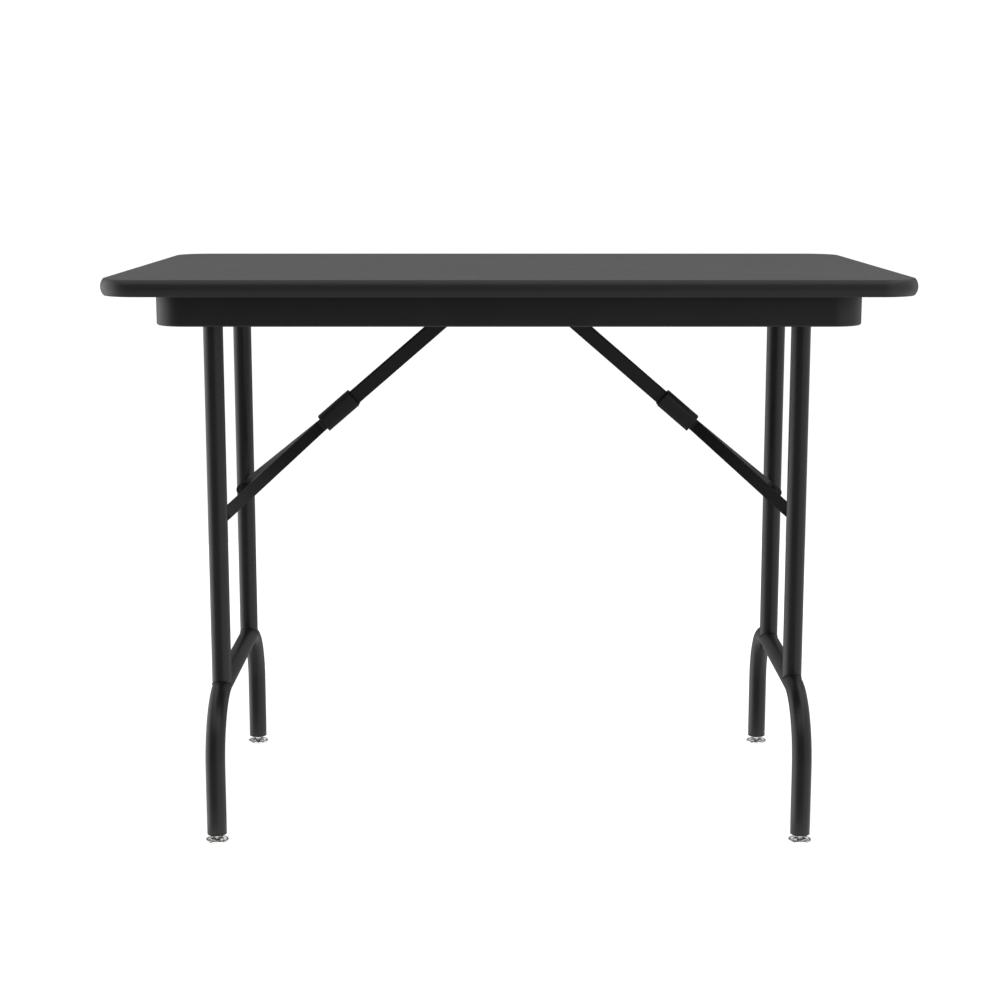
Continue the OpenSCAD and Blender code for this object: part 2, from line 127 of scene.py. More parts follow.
# finishes a material from its masks: dark to light with the tone, spots of a colour of their own
# while their mask runs over a span, roughness that runs between two values with the gloss, and
# relief, where height times depth is how far the surface stands out
def finishMaterial(material, look, tone, height, gloss=None, spots=None):
    tree = material.node_tree
    shader = tree.nodes["Principled BSDF"]
    colour = addNode(tree, "ShaderNodeMix", {0: tone, 6: linear(look["dark"]), 7: linear(look["light"])},
                     data_type="RGBA").outputs[2]
    if spots is not None:
        (start, finish), (few, many) = look["spotSpan"], look["spotShare"]
        share = addNode(tree, "ShaderNodeMapRange", {"Value": spots, "From Min": start, "From Max": finish,
                                                     "To Min": few, "To Max": many}).outputs["Result"]
        colour = addNode(tree, "ShaderNodeMix", {0: share, 6: colour, 7: linear(look["spot"])},
                         data_type="RGBA").outputs[2]
    tree.links.new(colour, shader.inputs["Base Color"])
    if gloss is None:
        shader.inputs["Roughness"].default_value = look["rough"]
    else:
        (start, finish), (low, high) = look["glossSpan"], look["rough"]
        rough = addNode(tree, "ShaderNodeMapRange", {"Value": gloss, "From Min": start, "From Max": finish,
                                                     "To Min": low, "To Max": high})
        tree.links.new(rough.outputs["Result"], shader.inputs["Roughness"])
    relief = addNode(tree, "ShaderNodeBump", {"Height": height, "Strength": look["bump"],
                                              "Distance": look["depth"] * mm})
    tree.links.new(relief.outputs["Normal"], shader.inputs["Normal"])
    if "ior" in look:
        shader.inputs["IOR"].default_value = look["ior"]
    return material


# Steel with an electrostatic powder coat: the melted powder leaves a satin skin with a faint
# orange peel and a little dust, slightly uneven in gloss. Peel and dust are finer on a real coat,
# and are drawn coarser here so that they show. The coat pulls thin over cut edges, which take a
# second, rubbed coat of their own that is greyer and duller.
def powderCoat(name, look):
    material, tree, place, cloud = startMaterial(name, look)
    peel, dust = (addNode(tree, "ShaderNodeTexNoise", {"Vector": place, "Scale": grain(look[key]),
                                                       "Detail": detail}).outputs["Fac"]
                  for key, detail in (("peel", 2.0), ("dust", 1.0)))
    return finishMaterial(material, look, tone=cloud, height=peel, gloss=cloud, spots=dust)


framePaintLook = {"dark": "#151313", "light": "#1b1918", "rough": (0.34, 0.42), "glossSpan": (0.3, 0.7),
                  "ior": 1.5, "cloud": (45, 3.0, 0.5), "peel": 2.4, "dust": 1.6, "spot": "#4a4846",
                  "spotSpan": (0.66, 0.8), "spotShare": (0.0, 0.03), "bump": 0.12, "depth": 0.03}
apronPaintLook = dict(framePaintLook, dark="#151414", light="#1a1918", rough=(0.38, 0.46),
                      cloud=(70, 3.0, 0.5))
sleevePaintLook = dict(framePaintLook, dark="#1a1819", light="#242122", rough=(0.32, 0.40),
                       cloud=(14, 3.0, 0.5))
rubbedPaintLook = dict(framePaintLook, dark="#1b1918", light="#262423", rough=(0.40, 0.50),
                       cloud=(8, 3.0, 0.5), spotShare=(0.0, 0.1))
framePaint = powderCoat("powderCoatedTube", framePaintLook)
apronPaint = powderCoat("powderCoatedApron", apronPaintLook)
sleevePaint = powderCoat("powderCoatedLock", sleevePaintLook)
rubbedPaint = powderCoat("rubbedPowderCoat", rubbedPaintLook)


# High-pressure laminate: printed paper under melamine, pressed against a fine pebbled plate,
# so it is matt and even, with a barely lighter fleck and a tiny pebble that breaks up its sheen.
# A real plate's pebble is under half a millimetre, and is drawn coarser here so that it shows.
laminateLook = {"dark": "#323232", "light": "#4d4d4d", "rough": (0.50, 0.58), "glossSpan": (0.35, 0.65),
                "ior": 1.5, "cloud": (6.0, 4.0, 0.7), "fleck": 1.5, "spot": "#6e6e6e",
                "spotSpan": (0.5, 0.72), "spotShare": (0.0, 0.55), "pebble": 1.8, "bump": 0.5,
                "depth": 0.07}


def pressedLaminate(look):
    material, tree, place, cloud = startMaterial("pebbledLaminate", look)
    fleck = addNode(tree, "ShaderNodeTexNoise", {"Vector": place, "Scale": grain(look["fleck"]),
                                                 "Detail": 2.0}).outputs["Fac"]
    pebble = addNode(tree, "ShaderNodeTexVoronoi", {"Vector": place, "Scale": grain(look["pebble"])},
                     feature="SMOOTH_F1").outputs["Distance"]
    return finishMaterial(material, look, tone=cloud, height=pebble, gloss=cloud, spots=fleck)


laminate = pressedLaminate(laminateLook)


# Extruded vinyl edging: soft PVC drawn through a die, satin, with faint lines along its length.
# The piece's UV map runs along it and across it in metres, so the lines follow the corners. They
# are finer on real edging, and are drawn coarser here so that they show.
vinylLook = {"dark": "#161515", "light": "#1d1c1b", "rough": (0.34, 0.44), "glossSpan": (0.3, 0.7),
             "ior": 1.53, "lines": (60, 1.3, 1000), "cloud": (40, 2.0, 0.5), "bump": 0.25, "depth": 0.03}


def extrudedVinyl(look):
    material, tree, _, cloud = startMaterial("extrudedVinyl", look)
    along = addNode(tree, "ShaderNodeUVMap", {}, uv_map="alongAcross").outputs["UV"]
    lines = drawnNoise(tree, along, look["lines"], 2.0)
    return finishMaterial(material, look, tone=cloud, height=lines, gloss=lines)


vinyl = extrudedVinyl(vinylLook)


# Particleboard: pressed wood chips, each a slightly different tan, with dark glue gaps between,
# where the distance to a chip's edge is small.
chipLook = {"dark": "#b08b5c", "light": "#7c5a36", "spot": "#4a341f", "spotSpan": (0.0, 0.12),
            "spotShare": (0.8, 0.0), "chip": 3.2, "cloud": (2.0, 2.0, 0.5), "rough": 0.85, "bump": 0.6,
            "depth": 0.25}


def pressedChips(look):
    material, tree, place, cloud = startMaterial("particleboard", look)
    chips = addNode(tree, "ShaderNodeTexVoronoi", {"Vector": place, "Scale": grain(look["chip"])})
    rim = addNode(tree, "ShaderNodeTexVoronoi", {"Vector": place, "Scale": grain(look["chip"])},
                  feature="DISTANCE_TO_EDGE")
    return finishMaterial(material, look, tone=chips.outputs["Color"], height=cloud,
                          spots=rim.outputs["Distance"])


particleboard = pressedChips(chipLook)


# Backing sheet: brown kraft paper soaked in resin, dull, with long fibres and cloudy resin marks.
# The fibres are finer on real paper, and are drawn coarser here so that they show.
backerLook = {"dark": "#33251a", "light": "#4b3726", "rough": (0.55, 0.72), "glossSpan": (0.35, 0.65),
              "fibre": (9.0, 0.9, 5.0), "fibreBend": 0.6, "cloud": (35, 4.0, 0.5), "toneSpan": (0.75, 1.25),
              "bump": 0.4, "depth": 0.05}


def resinPaper(look):
    material, tree, place, cloud = startMaterial("resinBackingPaper", look)
    fibre = drawnNoise(tree, place, look["fibre"], 3.0, look["fibreBend"])
    both = addNode(tree, "ShaderNodeMath", {0: fibre, 1: cloud}, operation="ADD").outputs["Value"]
    start, finish = look["toneSpan"]
    tone = addNode(tree, "ShaderNodeMapRange", {"Value": both, "From Min": start, "From Max": finish})
    return finishMaterial(material, look, tone.outputs["Result"], height=fibre, gloss=cloud)


backerPaper = resinPaper(backerLook)


# Plated or blackened steel: a metal with a cloudy finish, fine scuffs, and its own tint. Real
# scuffs are finer, and are drawn coarser here so that they show.
def platedSteel(name, look):
    material, tree, place, cloud = startMaterial(name, look)
    scuff = drawnNoise(tree, place, look["scuff"], 2.0)
    marks = addNode(tree, "ShaderNodeMath", {0: cloud, 1: scuff}, operation="MULTIPLY").outputs["Value"]
    tree.nodes["Principled BSDF"].inputs["Metallic"].default_value = 1.0
    return finishMaterial(material, look, tone=cloud, height=scuff, gloss=marks)


nickelLook = {"dark": "#dcdcda", "light": "#efefed", "rough": (0.14, 0.28), "glossSpan": (0.12, 0.4),
              "cloud": (9, 3.0, 0.5), "scuff": (0.5, 0.5, 6.0), "bump": 0.12, "depth": 0.02}
zincLook = dict(nickelLook, dark="#a4a8ab", light="#c3c7c9", rough=(0.28, 0.45), cloud=(4, 3.0, 0.5),
                bump=0.2, depth=0.03)
oxideLook = dict(zincLook, dark="#2b2a2a", light="#3a3837", rough=(0.38, 0.55), cloud=(5, 3.0, 0.5),
                 bump=0.25)
nickel = platedSteel("brightNickelPlate", nickelLook)
zinc = platedSteel("bluedZincPlate", zincLook)
blackOxide = platedSteel("blackOxideSteel", oxideLook)


# Moulded polyethylene: waxy black plastic with the fine spark-eroded grain of its mould, which is
# drawn coarser here so that it shows.
plasticLook = {"dark": "#121212", "light": "#1b1b1b", "rough": (0.48, 0.6), "glossSpan": (0.3, 0.7),
               "ior": 1.51, "pits": 0.9, "cloud": (12, 2.0, 0.5), "bump": 0.4, "depth": 0.04}


def mouldedPlastic(look):
    material, tree, place, cloud = startMaterial("mouldedPolyethylene", look)
    pits = addNode(tree, "ShaderNodeTexNoise", {"Vector": place, "Scale": grain(look["pits"]),
                                                "Detail": 1.0})
    return finishMaterial(material, look, tone=cloud, height=pits.outputs["Fac"], gloss=cloud)


blackPlastic = mouldedPlastic(plasticLook)
print("materials made")


# corner numbers of the quads between neighbouring rows and columns of a grid
def quads(rows, columns, closeRows=False, closeColumns=False):
    i, j = np.meshgrid(np.arange(rows if closeRows else rows - 1),
                       np.arange(columns if closeColumns else columns - 1), indexing="ij")
    nextRow, nextColumn = (i + 1) % rows, (j + 1) % columns
    corners = (i * columns + j, nextRow * columns + j,
               nextRow * columns + nextColumn, i * columns + nextColumn)
    return np.stack(corners, -1).reshape(-1, 4)


# a grid of points (rows, columns, 3) as one part: its points, its quads, and flat ends if asked
def gridPart(points, closeRows=False, closeColumns=False, flatEnds=False):
    rows, columns = points.shape[:2]
    ends = []
    if flatEnds:
        first = np.arange(columns)
        ends = [first[::-1].tolist(), (first + (rows - 1) * columns).tolist()]
    return points.reshape(-1, 3), quads(rows, columns, closeRows, closeColumns), ends


# angles of a whole turn, in equal steps
def wholeTurn(steps):
    return np.linspace(0, 2 * math.pi, steps, endpoint=False)


# a line through the corners, each rounded by an arc that touches both of its legs: the arc's
# centre lies on the line that halves the corner, and its points turn evenly from leg to leg
def bentLine(corners, bend, steps=7):
    corners = np.array(corners, float)
    pieces = [corners[:1]]
    for before, corner, after in zip(corners[:-2], corners[1:-1], corners[2:]):
        a, b = (before - corner), (after - corner)
        a, b = a / np.linalg.norm(a), b / np.linalg.norm(b)
        half = math.acos(float(np.clip(a @ b, -1, 1))) / 2
        middle = corner + (a + b) / np.linalg.norm(a + b) * bend / math.sin(half)
        start = corner + a * bend / math.tan(half) - middle
        finish = corner + b * bend / math.tan(half) - middle
        share = np.linspace(0, 1, steps)[:, None]
        swing = math.pi - 2 * half
        arc = (np.sin((1 - share) * swing) * start + np.sin(share * swing) * finish) / math.sin(swing)
        pieces.append(middle + arc)
    return np.concatenate(pieces + [corners[-1:]])


# a curve from a to c that leaves and arrives in line with b: (1 - s)^2 a + 2 s (1 - s) b + s^2 c
def eased(a, b, c, steps=12):
    s = np.linspace(0, 1, steps)[:, None]
    return (1 - s) ** 2 * np.array(a) + 2 * s * (1 - s) * np.array(b) + s ** 2 * np.array(c)


# a profile of radius and distance, turned about an axis through the given centre: each point is
# radius (cos turn, sin turn) across the axis and distance along it
def turned(profile, centre, axis="z", steps=48):
    profile = np.array(profile, float)
    angle = wholeTurn(steps)
    radius, along = profile[:, :1], profile[:, 1:]
    a, b, c = radius * np.cos(angle), radius * np.sin(angle), along + 0 * angle
    points = np.stack((a, b, c) if axis == "z" else (a, c, b), -1)
    return gridPart(points + np.array(centre), closeColumns=True)


# a pipe along centres: each point is centre + radius (cos turn * across + sin turn * upward), the
# outer wall going out and the inner wall coming back, joined at both ends by a small lip
def pipe(centres, across, upward, outer, inner, steps=40, lip=0.35):
    angle = wholeTurn(steps)[:, None]
    ring = np.cos(angle) * across[:, None, :] + np.sin(angle) * upward[:, None, :]
    start, finish = centres[1] - centres[0], centres[-1] - centres[-2]
    start, finish = start / np.linalg.norm(start) * lip, finish / np.linalg.norm(finish) * lip
    ends = np.concatenate([centres[:1], centres[:1] + start, centres[1:-1],
                           centres[-1:] - finish, centres[-1:]])
    ringAll = np.concatenate([ring[:1], ring, ring[-1:]])
    radius = np.full(len(ends), float(outer))
    radius[[0, -1]] -= lip
    wall = ends[:, None] + radius[:, None, None] * ringAll
    bore = (ends[:, None] + inner * ringAll)[::-1]
    return gridPart(np.concatenate([wall, bore]), closeRows=True, closeColumns=True)


# plan outline of a rounded rectangle, as points and outward directions: a corner's point is its
# centre plus radius times (cos, sin) of an angle that runs through the quarter turn
def roundedRectangle(width, depth, radius, steps=20):
    turn = np.concatenate([np.linspace(k, k + 1, steps) for k in range(4)]) * math.pi / 2
    quarter = np.repeat([0, 1, 2, 3], steps)
    outward = np.stack([np.cos(turn), np.sin(turn), 0 * turn], -1)
    signX, signY = np.array([1, -1, -1, 1])[quarter], np.array([1, 1, -1, -1])[quarter]
    middle = np.stack([signX * (width / 2 - radius), signY * (depth / 2 - radius), 0 * turn], -1)
    return middle + radius * outward, outward


making = {"merge": 0.002, "flatWithin": 0.5, "bevelFrom": 40, "bevelSteps": 2}


# rounds the cut edges of a piece by a small radius
def softenEdges(piece, width):
    piece.data.materials.append(rubbedPaint)
    soft = piece.modifiers.new("edges", "BEVEL")
    soft.material = len(piece.data.materials) - 1  # the coat is rubbed on the rounded edges
    soft.width, soft.segments, soft.limit_method = width * mm, making["bevelSteps"], "ANGLE"
    soft.angle_limit, soft.harden_normals = math.radians(making["bevelFrom"]), True


# closes a mesh's seams and poles, turns its faces outward, makes one face of flat neighbours if
# asked, sets its sharp edges, gives it its finish and makes it an object
def finishMesh(name, mesh, finish, sharp, joinFlat=False):
    work = bmesh.new()
    work.from_mesh(mesh)
    bmesh.ops.remove_doubles(work, verts=work.verts, dist=making["merge"] * mm)
    if joinFlat:
        bmesh.ops.dissolve_limit(work, angle_limit=math.radians(making["flatWithin"]), verts=work.verts,
                                 edges=work.edges)
    bmesh.ops.recalc_face_normals(work, faces=work.faces)
    work.to_mesh(mesh)
    work.free()
    mesh.polygons.foreach_set("use_smooth", np.ones(len(mesh.polygons), bool))
    mesh.set_sharp_from_angle(angle=math.radians(sharp))
    mesh.materials.clear()
    mesh.materials.append(finish)
    piece = bpy.data.objects.new(name, mesh)
    bpy.context.scene.collection.objects.link(piece)
    return piece


# rides a piece on its body, and hides the CAD nodes it stands for
def fitPiece(piece, body, standsFor):
    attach(piece, body)
    if standsFor:
        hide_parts(*standsFor)
    return piece


# joins parts into one mesh, gives sheet metal its thickness, half to each side, and softens its
# cut edges, then fits it to its body and CAD nodes
def makePiece(name, parts, finish, body, standsFor, thickness=None, bevel=None, sharp=38, uv=None):
    offset, points, faces = 0, [], []
    for partPoints, partQuads, ends in parts:
        points.append(partPoints)
        faces += (partQuads + offset).tolist() + [[corner + offset for corner in end] for end in ends]
        offset += len(partPoints)
    mesh = bpy.data.meshes.new(name)
    mesh.from_pydata(np.concatenate(points) * mm, [], faces)
    if uv is not None:
        layer = mesh.uv_layers.new(name="alongAcross")
        corner = np.zeros(len(mesh.loops), np.int32)
        mesh.loops.foreach_get("vertex_index", corner)
        layer.data.foreach_set("uv", (uv[corner] * mm).astype(np.float32).ravel())
    piece = finishMesh(name, mesh, finish, sharp)
    if thickness:
        wall = piece.modifiers.new("sheet", "SOLIDIFY")
        wall.thickness, wall.offset, wall.use_even_offset = thickness * mm, 0, True
    if bevel:
        softenEdges(piece, bevel)
    return fitPiece(piece, body, standsFor)


# a flat-sided CAD node kept as it is, but merged, and with its cut edges softened
def softenedNode(name, node, finish, body, bevel=0.35, sharp=38):
    piece = finishMesh(name, frame["nodes"][node].data.copy(), finish, sharp, joinFlat=True)
    softenEdges(piece, bevel)
    return fitPiece(piece, body, [node])


# gives a CAD node that keeps its own shape its finish
def finishNode(node, finish):
    kept = frame["nodes"][node].data
    kept.materials.clear()
    kept.materials.append(finish)


# Table top: laminate with an eased edge, inside a crowned moulding whose tongue sits in the core
topShape = {"coreCorner": 45.5, "ease": 0.35, "easeBow": 0.3, "crownSteps": 25, "rim": 0.5, "rimDrop": 0.12,
            "rimFlat": 0.3, "rimEase": 0.1, "tongueDepth": 9, "tongue": 2}
finishNode("core_board", particleboard)
finishNode("backer_sheet", backerPaper)
coreLow, coreHigh = nodeBox("core_board")
coreSize = coreHigh - coreLow
sheetLow, sheetHigh = nodeBox("top_laminate")
edgeLow, edgeHigh = nodeBox("edge_moulding")
outline, outward = roundedRectangle(coreSize[0], coreSize[1], topShape["coreCorner"])
upward = np.broadcast_to(np.array([0.0, 0.0, 1.0]), outward.shape)

ease, bow = topShape["ease"], topShape["easeBow"] * topShape["ease"]
slabSide = np.array([[-ease, sheetLow[2]], [0, sheetLow[2]], [0, sheetHigh[2] - ease],
                     [-bow, sheetHigh[2] - bow], [-ease, sheetHigh[2]]])
slabPoints = outline[None] + slabSide[:, None, :1] * outward[None] + slabSide[:, None, 1:] * upward[None]
makePiece("topLaminate", [gridPart(slabPoints, closeColumns=True, flatEnds=True)], laminate, "top",
          ["top_laminate"], sharp=60)

# the crown is one arc, whose radius is (half height ^ 2 + rise ^ 2) / (2 rise)
crown = edgeHigh[0] - coreHigh[0]
halfTop = (edgeHigh[2] - edgeLow[2]) / 2
rim, rise = topShape["rim"], crown - topShape["rim"]
crownRadius = (halfTop ** 2 + rise ** 2) / (2 * rise)
spread = np.linspace(1, -1, topShape["crownSteps"]) * math.asin(halfTop / crownRadius)
arc = np.stack([crown - crownRadius + crownRadius * np.cos(spread), crownRadius * np.sin(spread)], -1)
arc[0] -= (0, topShape["rimDrop"])
arc[-1] += (0, topShape["rimDrop"])
halfTongue, tongueEnd = topShape["tongue"] / 2, -topShape["tongueDepth"]
innerRim, seat = rim - topShape["rimFlat"], halfTop - topShape["rimEase"]
back = [[innerRim, -halfTop], [0, -seat], [0, -halfTongue], [tongueEnd, -halfTongue],
        [tongueEnd, halfTongue], [0, halfTongue], [0, seat], [innerRim, halfTop]]
moulding = np.concatenate([arc, back])
# the moulding is carried round the outline: place + out * outward + up * upward
ringMiddle = outline + upward * (edgeHigh[2] - halfTop)
ringPoints = (ringMiddle[:, None] + moulding[None, :, :1] * outward[:, None]
              + moulding[None, :, 1:] * upward[:, None])
stepAlong = np.linalg.norm(np.diff(outline, axis=0, prepend=outline[-1:]), axis=1).cumsum()
stepAcross = np.linalg.norm(np.diff(moulding, axis=0, prepend=moulding[:1]), axis=1).cumsum()
mouldingUv = np.stack(np.broadcast_arrays(stepAlong[:, None], stepAcross[None]), -1).reshape(-1, 2)
makePiece("edgeMoulding", [gridPart(ringPoints, closeRows=True, closeColumns=True)], vinyl, "top",
          ["edge_moulding"], uv=mouldingUv)
print("table top made")

# Apron: each half is a folded channel, a lip below, a wall, and a flange above
apronShape = {"corner": 40, "sheet": 1.2, "lip": 8, "flange": 18, "fold": 2.2, "bevel": 0.3}
apronLow, apronHigh = nodeBox("apron_front")
apronRearLow, apronRearHigh = nodeBox("apron_rear")
sheet = apronShape["sheet"]
apronOutline, apronOutward = roundedRectangle(apronHigh[0] - apronLow[0], apronRearHigh[1] - apronLow[1],
                                              apronShape["corner"])
wallOut, lipUp, flangeUp = -sheet / 2, apronLow[2] + sheet / 2, apronHigh[2] - sheet / 2
fold = bentLine([[-sheet - apronShape["lip"], lipUp], [wallOut, lipUp], [wallOut, flangeUp],
                 [-sheet - apronShape["flange"], flangeUp]], apronShape["fold"])
for edge, sign in edges.items():
    half = apronOutline[:, 1] * sign > 0
    places, facing = apronOutline[half], apronOutward[half]
    order = np.argsort(-np.arctan2(places[:, 1], places[:, 0]))  # so that a half runs from end to end
    places, facing = places[order], facing[order]
    ends = places[[0, -1]].copy()
    ends[:, 1] = (apronRearLow if sign > 0 else apronHigh)[1]  # both halves stop at the splice
    places = np.concatenate([ends[:1], places, ends[1:]])
    facing = np.concatenate([facing[:1], facing, facing[-1:]])
    points = places[:, None] + fold[None, :, :1] * facing[:, None]
    points = points + fold[None, :, 1:] * np.array([0.0, 0.0, 1.0])
    makePiece("apron" + edge.capitalize(), [gridPart(points)], apronPaint, "top",
              ["apron_" + edge], thickness=sheet, bevel=apronShape["bevel"])
for side in sides:
    softenedNode(side + "ApronSplice", side + "_apron_splice", apronPaint, "top")
print("apron made")

# Legs: pivot tube, two coped uprights, a bent wishbone, and beads of weld where they meet
legShape = {"wall": 1.4, "bend": 88, "bendSteps": 25, "ringSteps": 64, "weldGap": 0.15, "bead": 1.1,
            "beadInside": 0.35, "beadOff": 0.3, "ripple": 0.12, "ripples": 46, "rippleSteps": 6,
            "beadSides": 8}
tubeRadius = nodeBox("left_pivot_tube")[1][0] - nodeMiddle("left_pivot_tube")[0]
boreRadius = tubeRadius - legShape["wall"]


# height of the wishbone's upper surface at (x, y) from its middle: over the bar it is the tube's
# own arc; over a bend it is the same arc swung round the bend's centre
def saddleHeight(x, y, barHeight, straight, surface):
    rib = np.sqrt(surface ** 2 - x ** 2)
    past = np.maximum(np.abs(y) - straight, 0)
    onBend = barHeight - legShape["bend"] + np.sqrt((legShape["bend"] + rib) ** 2 - past ** 2)
    return np.where(past > 0, onBend, barHeight + rib)


# a bead of weld round an upright's end: a thin rod whose middle follows the joint, and whose
# thickness is bead * (1 + ripple * sin(ripples * turn))
def weldBead(legX, uprightY, heightOf):
    fine = wholeTurn(legShape["ripples"] * legShape["rippleSteps"])
    beadTurn = wholeTurn(legShape["beadSides"])
    thick = legShape["bead"] * (1 + legShape["ripple"] * np.sin(legShape["ripples"] * fine))
    reach = tubeRadius - legShape["beadInside"]
    x, y = reach * np.cos(fine), reach * np.sin(fine)
    away = np.cos(beadTurn)[None, :, None] * np.stack([np.cos(fine), np.sin(fine), 0 * fine], -1)[:, None]
    raised = np.sin(beadTurn)[None, :, None] * np.array([0.0, 0.0, 1.0])
    middle = np.stack([x + legX, y + uprightY, heightOf(x, y + uprightY)], -1)
    return gridPart(middle[:, None] + thick[:, None, None] * (away + raised), True, True)


for side in sides:
    body = side + "_leg"
    barLow, barHigh = nodeBox(side + "_wishbone")
    legX = (barLow[0] + barHigh[0]) / 2
    footY = barHigh[1] - tubeRadius
    barHeight = barHigh[2] - tubeRadius
    straight = footY - legShape["bend"]
    corners = [[-footY, barLow[2]], [-footY, barHeight], [footY, barHeight], [footY, barLow[2]]]
    line = bentLine(corners, legShape["bend"], steps=legShape["bendSteps"])
    centres = np.stack([0 * line[:, 0] + legX, line[:, 0], line[:, 1]], -1)
    heading = np.gradient(line, axis=0)
    heading[[0, -1]] = [[0, 1], [0, -1]]
    heading /= np.linalg.norm(heading, axis=1)[:, None]
    inPlane = np.stack([0 * heading[:, 0], -heading[:, 1], heading[:, 0]], -1)
    crosswise = np.broadcast_to(np.array([1.0, 0.0, 0.0]), inPlane.shape)
    makePiece(side + "Wishbone", [pipe(centres, crosswise, inPlane, tubeRadius, boreRadius)], framePaint,
              body, [side + "_wishbone"])

    tubeLow, tubeHigh = nodeBox(side + "_pivot_tube")
    pivotZ = (tubeLow[2] + tubeHigh[2]) / 2
    tubeEnds = np.array([[legX, tubeLow[1], pivotZ], [legX, 0, pivotZ], [legX, tubeHigh[1], pivotZ]])
    sideways, above = np.tile([1.0, 0, 0], (3, 1)), np.tile([0, 0, 1.0], (3, 1))
    makePiece(side + "PivotTube", [pipe(tubeEnds, sideways, above, tubeRadius, boreRadius)], framePaint,
              body, [side + "_pivot_tube"])

    turn, cope = wholeTurn(legShape["ringSteps"]), tubeRadius + legShape["weldGap"]
    beads = []
    for edge in edges:
        uprightY = nodeMiddle(f"{side}_upright_{edge}")[1]
        rings = []
        for radius, atTop in ((tubeRadius, False), (tubeRadius, True),
                              (boreRadius, True), (boreRadius, False)):
            x, y = radius * np.cos(turn), radius * np.sin(turn)
            low = saddleHeight(x, y + uprightY, barHeight, straight, cope)
            high = pivotZ - np.sqrt(cope ** 2 - x ** 2)
            rings.append(np.stack([x + legX, y + uprightY, high if atTop else low], -1))
        makePiece(f"{side}Upright{edge.capitalize()}",
                  [gridPart(np.stack(rings), closeRows=True, closeColumns=True)], framePaint, body,
                  [f"{side}_upright_{edge}"])
        beads.append(weldBead(legX, uprightY, lambda x, y: saddleHeight(
            x, y, barHeight, straight, tubeRadius) + legShape["beadOff"]))
        beads.append(weldBead(legX, uprightY, lambda x, y: pivotZ - np.sqrt(
            tubeRadius ** 2 - x ** 2) - legShape["beadOff"]))
    makePiece(side + "Welds", beads, framePaint, body, [])
print("legs made")

# Glides: a domed base with a turned-up rim on a stem, held by a plastic plug in each foot
glideShape = {"flat": 5.5, "bendAt": 7.8, "roll": 1.8, "rollFrom": -60, "rollTo": 190, "rollSteps": 21,
              "rim": 15, "rimTop": 7, "plate": 1.8, "dish": (2, 0.6), "stem": 4, "neck": 0.8,
              "stemEase": 0.6, "steps": 64}
plugShape = {"collar": 1.5, "depth": 22, "round": 0.4, "play": 0.1, "seat": 0.05, "tip": (1, 2),
             "sharp": 50}
capShape = {"skirt": 0.35, "domeSteps": 8, "play": 0.1, "depth": 11, "point": 1, "sharp": 50}


# half of a glide as radius and height: a flat, a rise to the rim, the rim's roll, a dish back to
# the neck, and the stem up into the plug
def glideProfile(stemTop):
    roll, rim, rimTop = glideShape["roll"], glideShape["rim"], glideShape["rimTop"]
    plate, stem, neck, tip = (glideShape[key] for key in ("plate", "stem", "neck", "stemEase"))
    curl = np.radians(np.linspace(glideShape["rollFrom"], glideShape["rollTo"], glideShape["rollSteps"]))
    rolled = np.stack([rim - roll + roll * np.cos(curl), rimTop - roll + roll * np.sin(curl)], -1)
    under = eased([glideShape["flat"], 0], [glideShape["bendAt"], 0], rolled[0])
    dishIn, dishUp = glideShape["dish"]
    inside = eased(rolled[-1], [rolled[-1][0] - dishIn, plate + dishUp], [stem + neck, plate])
    shank = [[stem, plate + neck], [stem, stemTop - tip], [stem - tip, stemTop], [0, stemTop]]
    return np.concatenate([[[0, 0]], under, rolled[1:-1], inside, shank])


# half of a foot plug as radius and height: a collar under the tube's end and a sleeve inside it
def plugProfile(footZ):
    collar, depth, corner, seat = (plugShape[key] for key in ("collar", "depth", "round", "seat"))
    bottom, top, stem = footZ - collar, footZ + depth, glideShape["stem"]
    fit = boreRadius - plugShape["play"]
    tipIn, tipDown = plugShape["tip"]
    return [[stem, top], [stem, bottom], [tubeRadius - corner, bottom],
            [tubeRadius - 0.1 * corner, bottom + 0.5 * corner], [tubeRadius, bottom + corner],
            [tubeRadius, footZ - seat], [fit, footZ], [fit, top - tipDown], [boreRadius - tipIn, top],
            [stem, top]]


# half of a pivot tube's cap as radius and distance: a shallow dome over the tube's end, where the
# radius is the tube's times the root of a sine, with a plug behind it
def capProfile(tubeEnd, capEnd):
    dome = np.linspace(0, 1, capShape["domeSteps"]) * math.pi / 2
    skirt, inner = capShape["skirt"], tubeEnd - capShape["depth"]
    height = (capEnd - tubeEnd) * (skirt + (1 - skirt) * np.cos(dome))
    domed = np.stack([tubeRadius * np.sin(dome) ** 0.5, tubeEnd + height], -1)
    return np.concatenate([domed, [[tubeRadius, tubeEnd], [boreRadius, tubeEnd],
                                   [boreRadius - capShape["play"], inner], [0, inner - capShape["point"]]]])


